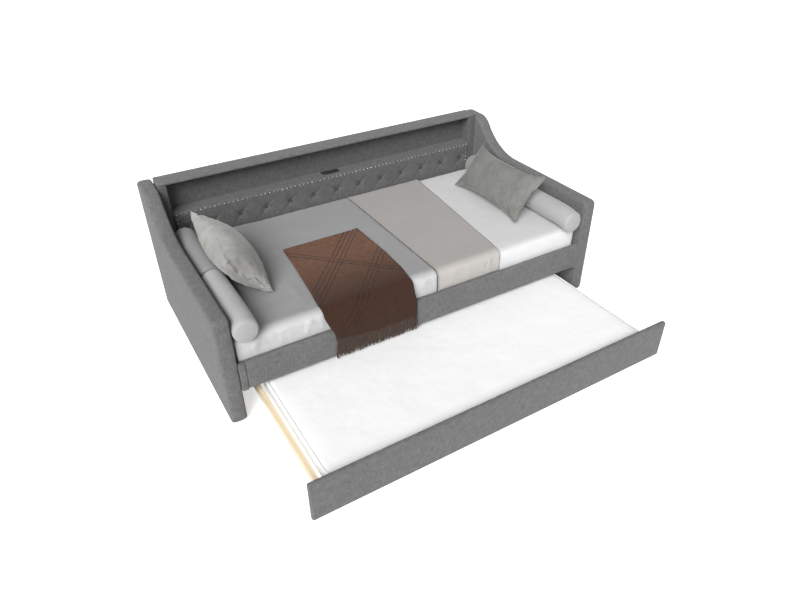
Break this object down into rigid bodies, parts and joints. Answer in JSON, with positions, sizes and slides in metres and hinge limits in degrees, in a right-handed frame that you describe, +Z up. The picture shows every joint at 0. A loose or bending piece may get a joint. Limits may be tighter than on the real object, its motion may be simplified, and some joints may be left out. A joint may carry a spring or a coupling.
{
  "type": "trundle bed",
  "caption": "Upholstered daybed with curved arms, shelf headboard and made-up mattress, and a roll-out trundle with its own mattress.",
  "frame": {"origin": "on the floor under the centre of the whole object as it stands, with the trundle part of the way out", "axes": "+X along the bed to its right-hand arm, +Y from the trundle front to the headboard, +Z up"},
  "size_m": [2.06, 1.76, 0.748],
  "materials": {
    "grey_linen": "woven linen upholstery",
    "linen_button": "linen-covered button",
    "nickel": "polished nickel",
    "pine": "sanded, unlacquered",
    "black_plastic": "fine texture",
    "webbing": "woven webbing",
    "zinc_steel": "zinc plated",
    "white_cotton": "cotton cover",
    "silver_fabric": "smooth cotton blanket",
    "taupe_fabric": "brushed cotton blanket",
    "brown_wool": "soft wool throw",
    "grey_velvet": "short velvet",
    "silver_satin": "smooth cotton",
    "wheel_nylon": "moulded nylon"
  },
  "bodies": {
    "daybed": {"left_arm_frame": "pine", "right_arm_frame": "pine", "left_arm_cover": "grey_linen", "right_arm_cover": "grey_linen", "headboard_back_panel": "grey_linen", "headboard_top_board": "grey_linen", "left_stile": "grey_linen", "right_stile": "grey_linen", "shelf_board": "grey_linen", "tufted_panel": "grey_linen", "tufting_buttons": "linen_button", "nailhead_trim": "nickel", "charging_module": "black_plastic", "charging_faceplate": "black_plastic", "front_rail_board": "pine", "front_rail_cover": "grey_linen", "left_rail_strip": "grey_linen", "right_rail_strip": "grey_linen", "rear_rail": "pine", "slat_ledgers": "pine", "bed_slats": "pine", "slat_straps": "webbing", "slat_screws": "zinc_steel", "corner_brackets": "zinc_steel", "frame_bolts": "zinc_steel", "foot_glides": "black_plastic", "daybed_mattress": "white_cotton", "silver_blanket": "silver_fabric", "taupe_blanket": "taupe_fabric", "brown_throw": "brown_wool", "left_pillow": "grey_velvet", "right_pillow": "grey_velvet", "left_back_bolster": "silver_satin", "left_front_bolster": "silver_satin", "right_back_bolster": "silver_satin", "right_front_bolster": "silver_satin"},
    "trundle": {"trundle_front_board": "pine", "trundle_front_cover": "grey_linen", "trundle_left_rail": "pine", "trundle_right_rail": "pine", "trundle_front_rail": "pine", "trundle_rear_rail": "pine", "trundle_ledgers": "pine", "trundle_slats": "pine", "trundle_screws": "zinc_steel", "panel_bolts": "zinc_steel", "trundle_mattress": "white_cotton", "front_left_fork": "zinc_steel", "front_right_fork": "zinc_steel", "rear_left_fork": "zinc_steel", "rear_right_fork": "zinc_steel", "front_left_axle": "zinc_steel", "front_right_axle": "zinc_steel", "rear_left_axle": "zinc_steel", "rear_right_axle": "zinc_steel"},
    "front_left_wheel": {"front_left_wheel": "wheel_nylon"},
    "front_right_wheel": {"front_right_wheel": "wheel_nylon"},
    "rear_left_wheel": {"rear_left_wheel": "wheel_nylon"},
    "rear_right_wheel": {"rear_right_wheel": "wheel_nylon"}
  },
  "joints": [
    {"name": "trundle_slide", "type": "slide", "parent": "daybed", "child": "trundle", "axis": [0, 1, 0], "range_m": [-0.4, 0.595]},
    {"name": "front_left_wheel_spin", "type": "hinge", "parent": "trundle", "child": "front_left_wheel", "pos_m": [-0.7, -0.81, 0.02], "axis": [1, 0, 0], "continuous": true},
    {"name": "front_right_wheel_spin", "type": "hinge", "parent": "trundle", "child": "front_right_wheel", "pos_m": [0.7, -0.81, 0.02], "axis": [1, 0, 0], "continuous": true},
    {"name": "rear_left_wheel_spin", "type": "hinge", "parent": "trundle", "child": "rear_left_wheel", "pos_m": [-0.7, 0.056, 0.02], "axis": [1, 0, 0], "continuous": true},
    {"name": "rear_right_wheel_spin", "type": "hinge", "parent": "trundle", "child": "rear_right_wheel", "pos_m": [0.7, 0.056, 0.02], "axis": [1, 0, 0], "continuous": true}
  ],
  "couplings": [
    {"joint": "front_left_wheel_spin", "follows": "trundle_slide", "rad_per_m": -50},
    {"joint": "front_right_wheel_spin", "follows": "trundle_slide", "rad_per_m": -50},
    {"joint": "rear_left_wheel_spin", "follows": "trundle_slide", "rad_per_m": -50},
    {"joint": "rear_right_wheel_spin", "follows": "trundle_slide", "rad_per_m": -50}
  ]
}
